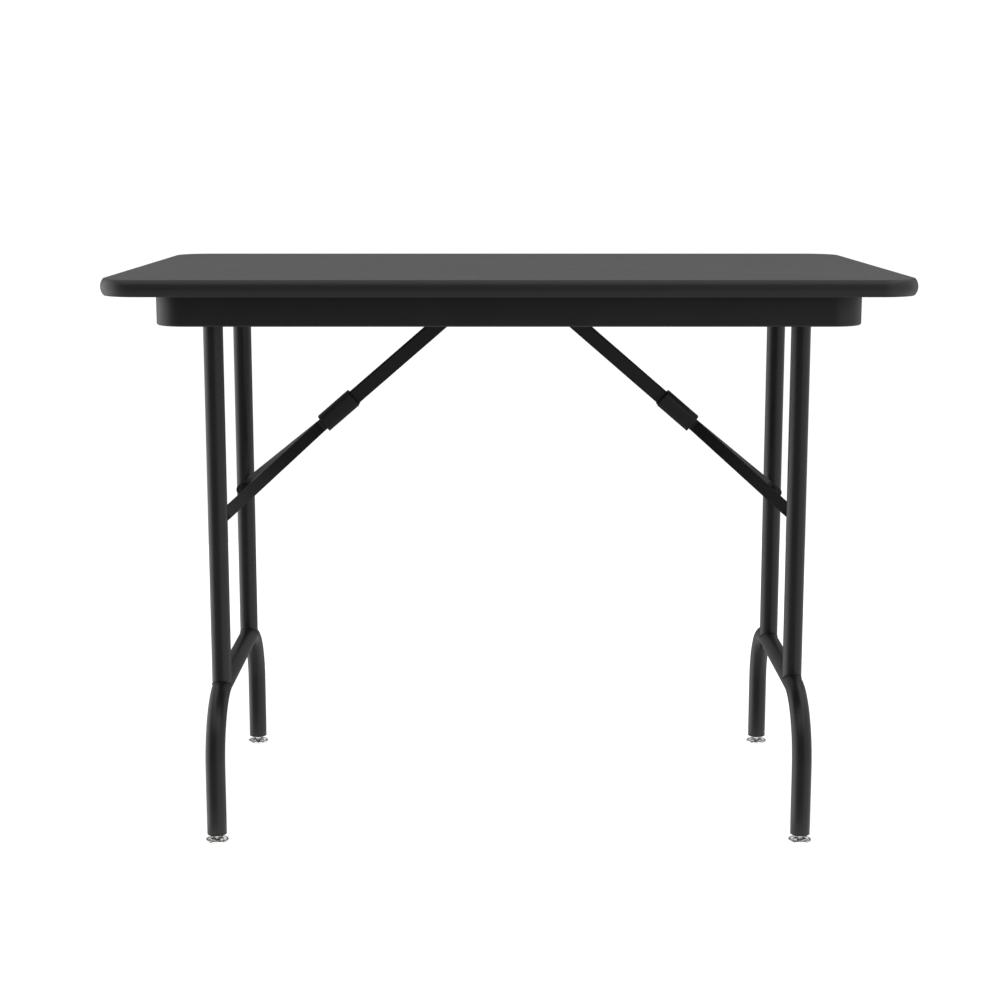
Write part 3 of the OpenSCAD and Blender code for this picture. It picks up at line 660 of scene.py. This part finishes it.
glides = []
for side in sides:
    body = side + "_leg"
    plugs = []
    for edge in edges:
        low, high = nodeBox(f"{side}_glide_{edge}")
        centre = ((low[0] + high[0]) / 2, (low[1] + high[1]) / 2, 0)
        glides.append(makePiece(f"{side}Glide{edge.capitalize()}",
                                [turned(glideProfile(high[2]), centre, steps=glideShape["steps"])], nickel,
                                body, [f"{side}_glide_{edge}"]))
        plugs.append(turned(plugProfile(nodeBox(side + "_wishbone")[0][2]), centre))
    makePiece(side + "FootPlugs", plugs, blackPlastic, body, [side + "_foot_plugs"],
              sharp=plugShape["sharp"])

    tubeLow, tubeHigh = nodeBox(side + "_pivot_tube")
    capHigh = nodeBox(side + "_pivot_caps")[1]
    axis = ((tubeLow[0] + tubeHigh[0]) / 2, 0, (tubeLow[2] + tubeHigh[2]) / 2)
    cap = capProfile(tubeHigh[1], capHigh[1])
    makePiece(side + "PivotCaps", [turned(cap, axis, "y"), turned(cap * [1, -1], axis, "y")], blackPlastic,
              body, [side + "_pivot_caps"], sharp=capShape["sharp"])
print("glides, plugs and caps made")

# Saddle straps: a strip bent over the pivot tube with a foot on either side
strapShape = {"strip": 2, "fold": 2.5, "bowSteps": 25, "bevel": 0.4}
for side in sides:
    pivotZ = nodeMiddle(side + "_pivot_tube")[2]
    for edge in edges:
        node = f"{side}_pivot_strap_{edge}"
        low, high = nodeBox(node)
        middleX = (low[0] + high[0]) / 2
        thick = strapShape["strip"]
        loop = pivotZ - low[2] - thick / 2
        around = np.linspace(math.pi, 2 * math.pi, strapShape["bowSteps"])
        bow = np.stack([loop * np.cos(around), pivotZ + loop * np.sin(around)], -1)
        seat = high[2] - thick / 2
        rise = bentLine([[middleX - high[0], seat], [-loop, seat], [-loop, pivotZ]], strapShape["fold"])[:-1]
        line = np.concatenate([rise, bow, rise[::-1] * [-1, 1]])
        across = np.array([low[1], high[1]])
        x, y, z = np.broadcast_arrays(line[:, :1] + middleX, across[None], line[:, 1:])
        makePiece(f"{side}PivotStrap{edge.capitalize()}", [gridPart(np.stack([x, y, z], -1))], apronPaint,
                  "top", [node], thickness=thick, bevel=strapShape["bevel"])
    softenedNode(side + "BraceBracket", side + "_brace_bracket", apronPaint, "top")

# Screws: a pan head with a cross-shaped drive, its depth falling off from the arms of the cross
screwShape = {"head": 4, "shank": 2, "headHeight": 2.4, "crown": 0.75, "crownSteps": 12, "point": 4,
              "slot": 0.55, "slotSlope": 0.25, "reach": 2.1, "reachSlope": 0.5, "depth": 1.2,
              "steps": 48, "spacing": 12, "sharp": 45}


# places of the screws in a CAD node, with their lowest and highest points: the vertices of the
# heads' lowest faces are sorted into squares of the spacing, and each group's middle is a screw
def screwPlaces(node):
    mesh = frame["nodes"][node].data
    points = np.zeros(len(mesh.vertices) * 3, np.float32)
    mesh.vertices.foreach_get("co", points)
    points = points.reshape(-1, 3) / mm
    heads = points[points[:, 2] < points[:, 2].min() + 0.05, :2]
    spacing = screwShape["spacing"]
    cells = np.unique(np.round(heads / spacing).astype(int), axis=0)
    found = [heads[np.abs(heads - cell * spacing).max(1) < spacing] for cell in cells]
    centres = np.array([(near.min(0) + near.max(0)) / 2 for near in found])
    return np.unique(np.round(centres, 1), axis=0), points[:, 2].min(), points[:, 2].max()


# points of one screw: radius (cos turn, sin turn), and a height that follows the head and shank
# and is raised on the head inside the cross, where min(|x|, |y|) is less than half the slot
def screwPoints(lowest, tip):
    head, shank, headHeight = (screwShape[key] for key in ("head", "shank", "headHeight"))
    bow = np.linspace(0, math.pi / 2, screwShape["crownSteps"])
    rim = lowest + headHeight
    reach = np.concatenate([head * np.sin(bow), [head, shank, shank, 0.0]])[:, None]
    crown = lowest + headHeight * screwShape["crown"] * (1 - np.cos(bow))
    height = np.concatenate([crown, [rim, rim, tip - screwShape["point"], tip]])[:, None]
    angle = wholeTurn(screwShape["steps"])
    x, y = reach * np.cos(angle), reach * np.sin(angle)
    across = np.clip((screwShape["slot"] - np.minimum(np.abs(x), np.abs(y))) / screwShape["slotSlope"], 0, 1)
    inCross = across * np.clip((screwShape["reach"] - reach) / screwShape["reachSlope"], 0, 1)
    onHead = (np.arange(len(reach)) < len(bow))[:, None]
    return np.stack([x, y, height + screwShape["depth"] * inCross * onHead], -1)


for name, node in (("apronScrews", "apron_screws"), ("pivotStrapScrews", "pivot_strap_screws"),
                   ("braceBracketScrews", "brace_bracket_screws")):
    centres, lowest, tip = screwPlaces(node)
    one = screwPoints(lowest, tip)
    parts = [gridPart(one + np.array([x, y, 0]), closeColumns=True) for x, y in centres]
    makePiece(name, parts, zinc, "top", [node], sharp=screwShape["sharp"])
    print(name, len(parts))

# Braces: arms of folded sheet, drawn along the arm from the upper pin and then laid in place
upperShape = {"high": 20, "wide": 12, "sheet": 1.5, "fold": 1.6, "endSteps": 19, "bevel": 0.3}
lowerShape = {"high": 16, "strap": 2, "forkGap": 0.4, "flareStart": 31, "flareBend": 9, "bendSteps": 9,
              "ear": 13, "earTail": 5, "earGap": 0.6, "endSteps": 17, "bevel": 0.35}
webShape = {"sheet": 1.5, "start": 27, "short": 42, "steps": 9, "bevel": 0.3}
sleeveShape = {"wall": 2.9, "power": 3.6, "halfLong": 27, "steps": 41, "bevel": 0.7,
               "skirt": ((0.9, -12.0), (0.25, -9.5), (0.0, -6.0))}
rivetShape = {"shank": 4, "head": 6.5, "crownSteps": 8, "pinHead": (1.8, 1.2), "hingeHead": (1.0, 0.5),
              "earHead": (2, 1.3)}


# arm coordinates (x down the arm, y across, z above it) as places on one side of the table
def onArm(side, sign, x, y, z):
    pin = pivotOf[side + "_upper_arm_fold"]
    foot = nodeMiddle(side + "_brace_studs")
    reach = np.array([abs(foot[0]) - abs(pin[0]), pin[2] - foot[2]])
    cosine, sine = reach / np.linalg.norm(reach)
    x, y, z = np.broadcast_arrays(x, y, z)
    return np.stack([pin[0] + sign * (x * cosine + z * sine), y, pin[2] - x * sine + z * cosine], -1)


# heights from -1 to 1 that crowd towards both ends, as the sine of an even turn
def crowded(steps):
    return np.sin(np.linspace(-1, 1, steps) * math.pi / 2)


# upper arm: a channel open below, whose sides run on past each pin as a half disc
def upperArm(side, sign, upperLong):
    thick, bend = upperShape["sheet"], upperShape["fold"]
    halfWide, halfHigh = upperShape["wide"] / 2 - thick / 2, upperShape["high"] / 2
    crest = halfHigh - thick / 2
    section = bentLine([[-halfWide, -halfHigh], [-halfWide, crest],
                        [halfWide, crest], [halfWide, -halfHigh]], bend)
    drop = crowded(upperShape["endSteps"]) * halfHigh
    onSide = drop[(drop > -halfHigh) & (drop < crest - bend)]
    left = np.stack([0 * onSide - halfWide, onSide], -1)
    section = np.concatenate([section[:1], left, section[1:-1], left[::-1] * [-1, 1], section[-1:]])
    y, z = section[:, 0], section[:, 1]
    past = np.where(np.abs(y) > halfWide - 0.01, np.sqrt(np.maximum(halfHigh ** 2 - z ** 2, 0)), 0)
    past = np.where(z > crest - bend - 0.01, 0, past)  # the fold and the crest end square
    rows = np.stack([-past, 0 * past, 0 * past + upperLong, past + upperLong])
    makePiece(side + "UpperArm", [gridPart(onArm(side, sign, rows, y[None], z[None]))], framePaint,
              side + "_upper_brace", [side + "_upper_arm"], thickness=thick,
              bevel=upperShape["bevel"])


# lower arm: two straps that fork over the upper arm and spread to the uprights, and a web between
# them, flush with their upper edges
def lowerArm(side, sign, upperLong, lowerLong, fork, ear):
    thick, radius, flareStart = lowerShape["strap"], lowerShape["high"] / 2, lowerShape["flareStart"]
    flareEnd = lowerLong - lowerShape["ear"]
    bank = crowded(lowerShape["endSteps"]) * radius
    tail = np.sqrt(np.maximum(radius ** 2 - bank ** 2, 0))
    earEnd = lowerLong + lowerShape["earTail"]
    plan = bentLine([[0, fork], [flareStart, fork], [flareEnd, ear], [earEnd, ear]],
                    lowerShape["flareBend"], steps=lowerShape["bendSteps"])
    for edge, towards in edges.items():
        x = np.repeat(plan[:, :1], len(bank), 1)
        x = np.concatenate([x[:1] - tail, x, x[-1:] + tail])
        y = np.concatenate([plan[:1, 1], plan[:, 1], plan[-1:, 1]])[:, None] * towards
        makePiece(f"{side}LowerStrap{edge.capitalize()}",
                  [gridPart(onArm(side, sign, x + upperLong, y, bank[None]))], framePaint,
                  side + "_lower_brace", [f"{side}_lower_strap_{edge}"], thickness=thick,
                  bevel=lowerShape["bevel"])
    along = np.array([webShape["start"], flareStart, flareEnd - webShape["short"]])
    half = np.interp(along, [0, flareStart, flareEnd], [fork, fork, ear]) - thick / 2
    web = onArm(side, sign, along[:, None] + upperLong,
                half[:, None] * np.linspace(-1, 1, webShape["steps"])[None], radius - webShape["sheet"] / 2)
    makePiece(side + "LowerWeb", [gridPart(web)], framePaint, side + "_lower_brace",
              [side + "_lower_web"], thickness=webShape["sheet"], bevel=webShape["bevel"])


# lock sleeve: a rounded tube open below; its section is a squared-off oval,
# |y / half width| ^ power + |z / height| ^ power = 1
def lockSleeve(side, sign, upperLong):
    wall = sleeveShape["wall"]
    halfWide = nodeBox(side + "_lock_sleeve")[1][1] - wall / 2
    over = upperShape["high"] / 2 + lowerShape["forkGap"] + wall / 2
    swing = np.linspace(0, math.pi, sleeveShape["steps"])
    root = 2 / sleeveShape["power"]
    oval = np.stack([halfWide * np.sign(np.cos(swing)) * np.abs(np.cos(swing)) ** root,
                     over * np.abs(np.sin(swing)) ** root], -1)
    skirt = np.array([[halfWide - tuck, down] for tuck, down in sleeveShape["skirt"]])
    section = np.concatenate([skirt, oval, skirt[::-1] * [-1, 1]])
    ends = np.array([[-1.0], [1.0]]) * sleeveShape["halfLong"] + upperLong
    sleeve = onArm(side, sign, ends, section[None, :, 0], section[None, :, 1])
    makePiece(side + "LockSleeve", [gridPart(sleeve)], sleevePaint, side + "_lock",
              [side + "_lock_sleeve"], thickness=wall, bevel=sleeveShape["bevel"])


# half of a pin or rivet as radius and distance: a crown of one arc over a head, then the shank
def headed(outer, headThick, crownHigh):
    head, shank, inner = rivetShape["head"], rivetShape["shank"], outer - headThick
    bow = np.linspace(0, math.pi / 2, rivetShape["crownSteps"])
    crown = np.stack([head * np.sin(bow), outer - crownHigh * (1 - np.cos(bow))], -1)
    return np.concatenate([crown, [[head, inner], [shank, inner]]])


for side, sign in sides.items():
    pin, hinge = pivotOf[side + "_upper_arm_fold"], pivotOf[side + "_lower_arm_fold"]
    foot = nodeMiddle(side + "_brace_studs")
    upperLong = np.linalg.norm((hinge - pin)[[0, 2]])
    lowerLong = math.hypot(abs(foot[0]) - abs(pin[0]), pin[2] - foot[2]) - upperLong
    fork = upperShape["wide"] / 2 + lowerShape["forkGap"] + lowerShape["strap"] / 2
    ear = nodeBox(f"{side}_upright_rear")[0][1] - lowerShape["earGap"] - lowerShape["strap"] / 2
    upperArm(side, sign, upperLong)
    lowerArm(side, sign, upperLong, lowerLong, fork, ear)
    lockSleeve(side, sign, upperLong)

    # the upper pin and the middle hinge's rivet have a head at both ends
    for name, node, at, body, head in (("BracePin", "_brace_pin", pin, "top", rivetShape["pinHead"]),
                                       ("HingeRivet", "_hinge_rivet", hinge, side + "_upper_brace",
                                        rivetShape["hingeHead"])):
        end = headed(nodeBox(side + node)[1][1], *head)
        whole = np.concatenate([end, end[::-1] * [1, -1]])
        makePiece(side + name, [turned(whole, (at[0], 0, at[2]), "y")], blackOxide, body,
                  [side + node])

    # a rivet in each ear has its head on the inner side and ends flush with the ear's outer side
    headThick, crownHigh = rivetShape["earHead"]
    inner = ear - lowerShape["strap"] / 2
    outer = nodeBox(side + "_ear_rivets")[1][1]
    rivet = headed(headThick - inner, headThick, crownHigh) * [1, -1]
    rivet = np.concatenate([rivet, [[rivetShape["shank"], outer], [0, outer]]])
    makePiece(side + "EarRivets", [turned(rivet, (foot[0], 0, foot[2]), "y"),
                                   turned(rivet * [1, -1], (foot[0], 0, foot[2]), "y")], blackOxide,
              side + "_lower_brace", [side + "_ear_rivets"])
    finishNode(side + "_brace_studs", blackOxide)
print("braces made")


studio = {"floor": "#f4f4f3", "floorCloud": "#fafafa", "cloud": (400, 2.0, 0.5), "floorRough": 0.9,
          "floorShine": 0.1, "floorRadius": 1.9, "floorSteps": 96, "floorGlow": 0.60, "nearFloor": 80,
          "white": 1.05, "ambient": 0.20, "key": 62, "keySize": 5.0, "keyHeight": 2.6,
          "footLamp": (0, -1.6, 0.75), "footSize": (3.2, 0.9), "footPower": 26,
          "panels": (((-0.966, 0.259, -0.05), 1.5, 0.37, 1.0), ((0.985, -0.174, 0.0), 0.52, 0.66, 0.5),
                     ((0, 0, -1), 0.25, 0.8, 0.25))}  # each one's direction, power, reach and fade


# Painted studio floor: matt off-white, with the faintest cloud in its tone. The glides close to it
# mirror it, but it throws no white up at the black coat above, and it is clear from below.
def studioFloor(look):
    material, tree, _, cloud = startMaterial("mattStudioFloor", look)
    shader = tree.nodes["Principled BSDF"]
    colour = addNode(tree, "ShaderNodeMix", {0: cloud, 6: linear(look["floor"]),
                                             7: linear(look["floorCloud"])}, data_type="RGBA")
    tree.links.new(colour.outputs[2], shader.inputs["Base Color"])
    shader.inputs["Roughness"].default_value = look["floorRough"]
    shader.inputs["Specular IOR Level"].default_value = look["floorShine"]
    shader.inputs["Emission Color"].default_value = (1, 1, 1, 1)
    shader.inputs["Emission Strength"].default_value = look["floorGlow"]
    path = addNode(tree, "ShaderNodeLightPath", {})
    facing = addNode(tree, "ShaderNodeNewGeometry", {})
    near = addNode(tree, "ShaderNodeMath", {0: path.outputs["Ray Length"], 1: look["nearFloor"] * mm},
                   operation="LESS_THAN")
    above = addNode(tree, "ShaderNodeMath", {0: path.outputs["Is Camera Ray"],
                                             1: facing.outputs["Backfacing"]}, operation="SUBTRACT")
    shown = addNode(tree, "ShaderNodeMath", {0: above.outputs["Value"], 1: near.outputs["Value"]},
                    operation="MAXIMUM")
    clear = addNode(tree, "ShaderNodeBsdfTransparent", {})
    either = addNode(tree, "ShaderNodeMixShader", {0: shown.outputs["Value"], 1: clear.outputs["BSDF"],
                                                   2: shader.outputs["BSDF"]})
    tree.links.new(either.outputs["Shader"], tree.nodes["Material Output"].inputs["Surface"])
    return material


turn = wholeTurn(studio["floorSteps"])
disc = np.stack([np.cos(turn), np.sin(turn), 0 * turn], -1) * studio["floorRadius"]
floorMesh = bpy.data.meshes.new("floor")
floorMesh.from_pydata(disc, [], [list(range(len(turn)))])
floorMesh.materials.append(studioFloor(studio))
floor = bpy.data.objects.new("floor", floorMesh)
bpy.context.scene.collection.objects.link(floor)
floor.visible_shadow = False


# one soft oblong light at a place, turned to face the middle of the floor
def softLight(name, place, size, power):
    data = bpy.data.lights.new(name, "AREA")
    data.shape, data.size, data.size_y, data.energy = "RECTANGLE", size[0], size[1], power
    lamp = bpy.data.objects.new(name, data)
    lamp.location = place
    towards = -np.array(place, float)
    lamp.rotation_euler = (math.atan2(math.hypot(towards[0], towards[1]), -towards[2]), 0,
                           math.atan2(towards[1], towards[0]) - math.pi / 2)
    bpy.context.scene.collection.objects.link(lamp)
    return lamp


softLight("overheadSoftbox", (0, 0, studio["keyHeight"]), (studio["keySize"], studio["keySize"]),
          studio["key"])

# a low lamp on the bright glides alone, which would be dull in the shade of the top
footLamp = softLight("glideLamp", studio["footLamp"], studio["footSize"], studio["footPower"])
glideGroup = bpy.data.collections.new("glides")
for piece in glides:
    glideGroup.objects.link(piece)
footLamp.light_linking.receiver_collection = glideGroup

# the room: white to the camera; to everything else a dim glow with three soft panels, each fading
# with the dot product of the ray's direction and the panel's own
world = bpy.data.worlds.new("studioRoom")
world.use_nodes = True
tree = world.node_tree
background = tree.nodes["Background"]
direction = addNode(tree, "ShaderNodeTexCoord", {}).outputs["Generated"]
glow = studio["ambient"]
for facing, power, reach, fade in studio["panels"]:
    facing = np.array(facing) / np.linalg.norm(facing)
    toward = addNode(tree, "ShaderNodeVectorMath", {0: direction, 1: tuple(facing)}, operation="DOT_PRODUCT")
    panel = addNode(tree, "ShaderNodeMapRange", {"Value": toward.outputs["Value"], "From Min": 1 - reach,
                                                 "From Max": 1 - reach + fade * reach, "To Min": 0.0,
                                                 "To Max": power}, interpolation_type="SMOOTHSTEP")
    glow = addNode(tree, "ShaderNodeMath", {0: panel.outputs["Result"], 1: glow},
                   operation="ADD").outputs["Value"]
seen = addNode(tree, "ShaderNodeLightPath", {}).outputs["Is Camera Ray"]
strength = addNode(tree, "ShaderNodeMix", {0: seen, 2: glow, 3: studio["white"]}, data_type="FLOAT")
tree.links.new(strength.outputs[0], background.inputs["Strength"])
background.inputs["Color"].default_value = (1, 1, 1, 1)
bpy.context.scene.world = world
bpy.context.scene.view_settings.view_transform = "Standard"
print("studio made")
